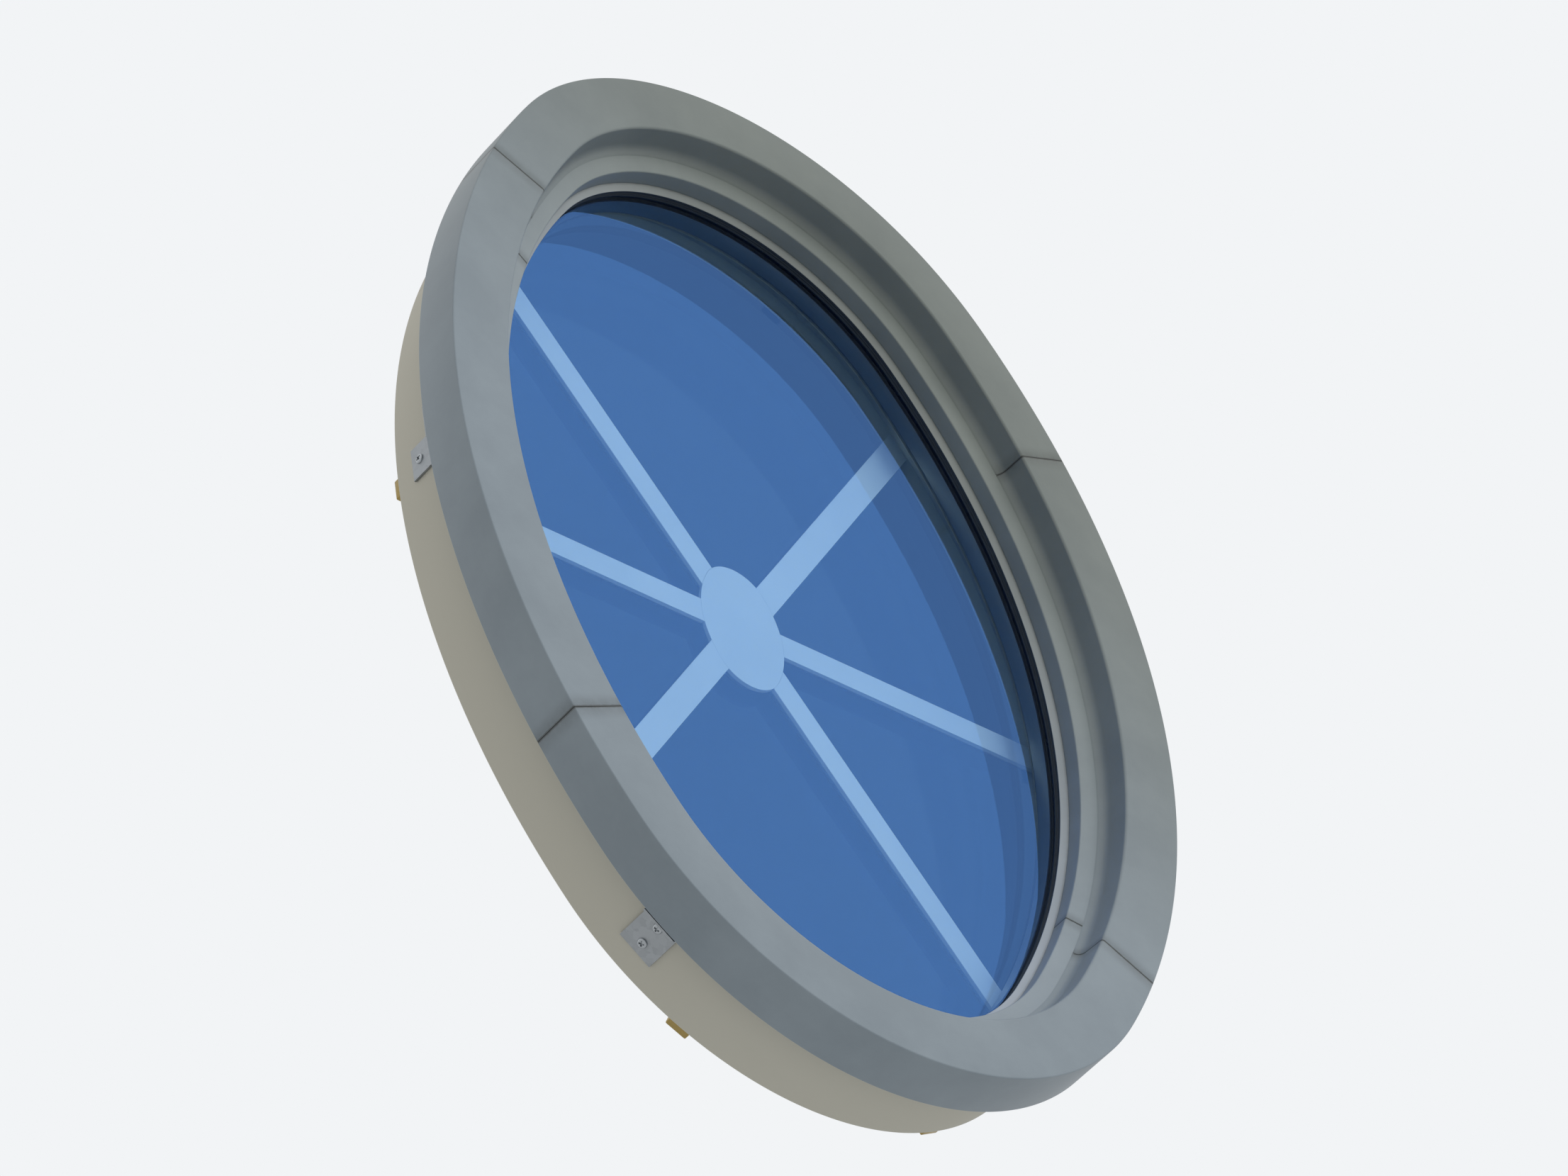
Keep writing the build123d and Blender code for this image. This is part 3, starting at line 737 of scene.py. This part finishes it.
# Bead: a narrow strip in front of the glass, its sight edge bevelled towards the gasket
bead_outline = rounded(
    [
        (60.2, -4.0, 0.0),
        (69.5, -4.0, 0.4),
        (75.0, -0.9, 0.5),
        (75.0, -0.6, 0.0),
        (60.2, -0.6, 0.0),
    ]
)
moulding("glazing_bead_moulding", bead_outline, all_round, bead_paint, ["glazing_bead"])

# Gasket: two shallow ribs on its sight side, as extruded seals have
gasket_outline = rounded(
    [
        (66.0, -0.6, 0.0),
        (75.0, -0.6, 0.3),
        (75.0, 1.2, 0.2),
        (74.3, 1.6, 0.2),
        (74.3, 2.0, 0.2),
        (75.0, 2.4, 0.2),
        (75.0, 3.0, 0.2),
        (74.3, 3.4, 0.2),
        (74.3, 3.8, 0.2),
        (75.0, 4.2, 0.2),
        (75.0, 5.4, 0.0),
        (66.0, 5.4, 0.0),
    ],
    parts=2,
)
moulding("front_gasket_moulding", gasket_outline, all_round, black_rubber, ["front_gasket"])

# Spacer: its shoulders are folded in at both panes
spacer_outline = rounded(
    [
        (65.0, 8.4, 0.0),
        (73.5, 8.4, 0.0),
        (74.5, 9.4, 0.4),
        (76.5, 9.4, 0.5),
        (76.5, 23.4, 0.5),
        (74.5, 23.4, 0.4),
        (73.5, 24.4, 0.0),
        (65.0, 24.4, 0.0),
    ],
    parts=3,
)
moulding("spacer_bar", spacer_outline, all_round, spacer_metal, ["spacer"])

# Stop: a bevelled strip behind the sealed unit
stop_outline = rounded([(46.2, 27.4, 0.0), (73.5, 27.4, 0.3), (60.0, 39.4, 1.5), (46.2, 39.4, 0.0)])
moulding("interior_stop_moulding", stop_outline, all_round, room_paint, ["interior_stop"])


def normal_point(angle, inset, depth):
    """A place on the oval, and the outward direction there."""
    turned = radians(angle)
    outward = Vector((cos(turned), 0.0, sin(turned)))
    if abs(sin(turned)) > sin(joint_angle):
        centre = Vector((0.0, 0.0, end_rise if sin(turned) > 0 else -end_rise))
        radius = end_radius
    else:
        centre = Vector((-side_shift if cos(turned) > 0 else side_shift, 0.0, 0.0))
        radius = side_radius
    return centre + outward * (radius - inset * mm) + Vector((0.0, depth * mm, 0.0)), outward


def screw_head(name, radius, height, recess):
    """A pan head that stands on z = 0, with a cross recess as wide as given, sizes in millimetres."""
    sides = 24
    # Shares of the radius and of the height, from the foot, which is sunk a little, to the crown
    pan_shape = ((1.0, -0.3), (1.0, 0.25), (0.96, 0.55), (0.85, 0.8), (0.66, 0.95), (0.4, 1.0))
    work = bmesh.new()
    rings = []
    for share, rise in pan_shape:
        turns = [2 * pi * k / sides for k in range(sides)]
        reach = radius * share * mm
        level = height * rise * mm
        rings.append([work.verts.new((reach * cos(t), reach * sin(t), level)) for t in turns])
    for lower, upper in zip(rings, rings[1:]):
        for k in range(sides):
            work.faces.new((lower[k], lower[(k + 1) % sides], upper[(k + 1) % sides], upper[k]))
    work.faces.new(rings[-1])
    work.faces.new(list(reversed(rings[0])))
    mesh = bpy.data.meshes.new(name)
    work.to_mesh(mesh)
    work.free()
    head = bpy.data.objects.new(name, mesh)
    scene.collection.objects.link(head)
    # Two crossed bars cut the recess, from a little above the foot to well above the crown
    recess_floor = 0.15 * height
    recess_height = 1.45 * height
    slot_share = 0.3
    cutter_mesh = bpy.data.meshes.new(name + "_recess")
    work = bmesh.new()
    middle = Matrix.Translation((0.0, 0.0, (recess_floor + recess_height / 2) * mm))
    for width, length in ((recess * slot_share, recess), (recess, recess * slot_share)):
        size = Matrix.Diagonal((width * mm, length * mm, recess_height * mm, 1.0))
        bmesh.ops.create_cube(work, size=1.0, matrix=middle @ size)
    work.to_mesh(cutter_mesh)
    work.free()
    cutter = bpy.data.objects.new(name + "_recess", cutter_mesh)
    scene.collection.objects.link(cutter)
    cut = head.modifiers.new("recess", "BOOLEAN")
    cut.operation = "DIFFERENCE"
    cut.solver = "EXACT"
    cut.use_self = True
    cut.object = cutter
    plain_mesh(head, name)
    bpy.data.objects.remove(cutter)
    return head


def fastener_tree():
    """Sets a head on every point, along the point's own direction and turned at random. Inputs: the points,
    the head's object, the seed of its turns and the material."""
    tree = bpy.data.node_groups.new("screw_heads", "GeometryNodeTree")
    for name, kind in (
        ("Geometry", "NodeSocketGeometry"),
        ("Head", "NodeSocketObject"),
        ("Seed", "NodeSocketInt"),
        ("Material", "NodeSocketMaterial"),
    ):
        tree.interface.new_socket(name, in_out="INPUT", socket_type=kind)
    tree.interface.new_socket("Geometry", in_out="OUTPUT", socket_type="NodeSocketGeometry")
    given = add(tree, "NodeGroupInput").outputs
    points = add(tree, "GeometryNodeMeshToPoints", {"Mesh": given["Geometry"]})
    chosen = {"Object": given["Head"], "As Instance": True}
    head = add(tree, "GeometryNodeObjectInfo", chosen, transform_space="ORIGINAL")
    facing = add(tree, "GeometryNodeInputNamedAttribute", {"Name": "facing"}, data_type="FLOAT_VECTOR")
    aimed = add(tree, "FunctionNodeAlignRotationToVector", {"Vector": facing}, axis="Z")
    any_turn = {"Min": 0.0, "Max": 2 * pi, "Seed": given["Seed"]}
    spin = add(tree, "FunctionNodeRandomValue", any_turn, data_type="FLOAT")
    spun = add(tree, "ShaderNodeCombineXYZ", {"Z": spin})
    turned = add(tree, "FunctionNodeRotateRotation", [aimed, spun], rotation_space="LOCAL")
    placed = add(
        tree,
        "GeometryNodeInstanceOnPoints",
        {"Points": points, "Instance": head.outputs["Geometry"], "Rotation": turned},
    )
    real = add(tree, "GeometryNodeRealizeInstances", {"Geometry": placed})
    coated = add(tree, "GeometryNodeSetMaterial", {"Geometry": real, "Material": given["Material"]})
    add(tree, "NodeGroupOutput", {"Geometry": coated})
    return tree


screw_tree = fastener_tree()
# Corners that turn by more than this stay sharp in the shading of the screws and the turn buttons
sharp_fitting = radians(40)


def screws(name, places, head, seed, coat):
    """Sets a screw head on each place, a point and the direction that its head faces."""
    mesh = bpy.data.meshes.new(name + "_points")
    mesh.from_pydata([tuple(point) for point, _ in places], [], [])
    facing = mesh.attributes.new("facing", "FLOAT_VECTOR", "POINT")
    facing.data.foreach_set("vector", [value for _, way in places for value in way])
    made = bpy.data.objects.new(name, mesh)
    scene.collection.objects.link(made)
    modifier = made.modifiers.new("screws", "NODES")
    modifier.node_group = screw_tree
    set_inputs(modifier, {"Head": head, "Seed": seed, "Material": coat})
    finished = plain_mesh(made, name)
    finished.shade_smooth()
    finished.set_sharp_from_angle(angle=sharp_fitting)
    bpy.data.objects.remove(head)
    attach(made, "root")


# Turn buttons: milled brass with a foot on the frame and a thinner lip over the pane, all edges eased. Their
# top is a little lower than the solids', so that the screw heads stay inside the solids' box
button_angles = (0.0, 62.0, 118.0, 180.0, 242.0, 298.0)
button_top = 66.2
button_half_length = 9.0
button_screw_inset = 32.0
button_outline = [
    (27.0, frame_back),
    (37.0, frame_back),
    (37.0, 64.2),
    (45.0, 64.2),
    (45.0, button_top),
    (27.0, button_top),
]
work = bmesh.new()
for angle in button_angles:
    side = Vector((-sin(radians(angle)), 0.0, cos(radians(angle)))) * button_half_length * mm
    corners = [normal_point(angle, inset, depth)[0] for inset, depth in button_outline]
    near = [work.verts.new(corner - side) for corner in corners]
    far = [work.verts.new(corner + side) for corner in corners]
    work.faces.new(near)
    work.faces.new(list(reversed(far)))
    for k in range(len(corners)):
        after = (k + 1) % len(corners)
        work.faces.new((near[k], far[k], far[after], near[after]))
mesh = bpy.data.meshes.new("turn_button_plates")
work.to_mesh(mesh)
work.free()
mesh.materials.append(button_brass)
plates = bpy.data.objects.new("turn_button_plates", mesh)
scene.collection.objects.link(plates)
ease = plates.modifiers.new("ease", "BEVEL")
ease.width = 1.1 * mm
ease.segments = 3
ease.limit_method = "ANGLE"
finished = plain_mesh(plates, "turn_button_plates")
finished.shade_smooth()
finished.set_sharp_from_angle(angle=sharp_fitting)
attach(plates, "root")
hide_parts("turn_buttons")

indoors = Vector((0.0, 1.0, 0.0))
button_places = [
    (normal_point(angle, button_screw_inset, button_top)[0], indoors) for angle in button_angles
]
brass_head = screw_head("brass_head", radius=3.2, height=0.8, recess=3.4)
screws(
    "turn_button_screws", button_places, brass_head, seed=3, coat=button_brass
)

# Two screws hold each clip to the outside of the frame
clip_angles = (0.0, 48.0, 132.0, 180.0, 228.0, 312.0)
clip_outside = 23.2
clip_screw_depths = (14.0, 31.0)
clip_places = [
    normal_point(angle, clip_outside, depth) for angle in clip_angles for depth in clip_screw_depths
]
steel_head = screw_head("steel_head", radius=3.8, height=1.7, recess=4.2)
screws("clip_screws", clip_places, steel_head, seed=5, coat=screw_steel)

# The CAD nodes that keep their shape get their materials
coats = {
    "casing_splines": spline_wood,
    "frame_splines": spline_wood,
    "fixing_clips": clip_steel,
    "setting_blocks": black_rubber,
    "outer_pane": outer_glass,
    "inner_pane": inner_glass,
    "room_pane": room_shade_glass,
}
coats.update({name: grille_paint for name in nodes if name.startswith("grille_")})
for name, coat in coats.items():
    nodes[name].data.materials.clear()
    nodes[name].data.materials.append(coat)
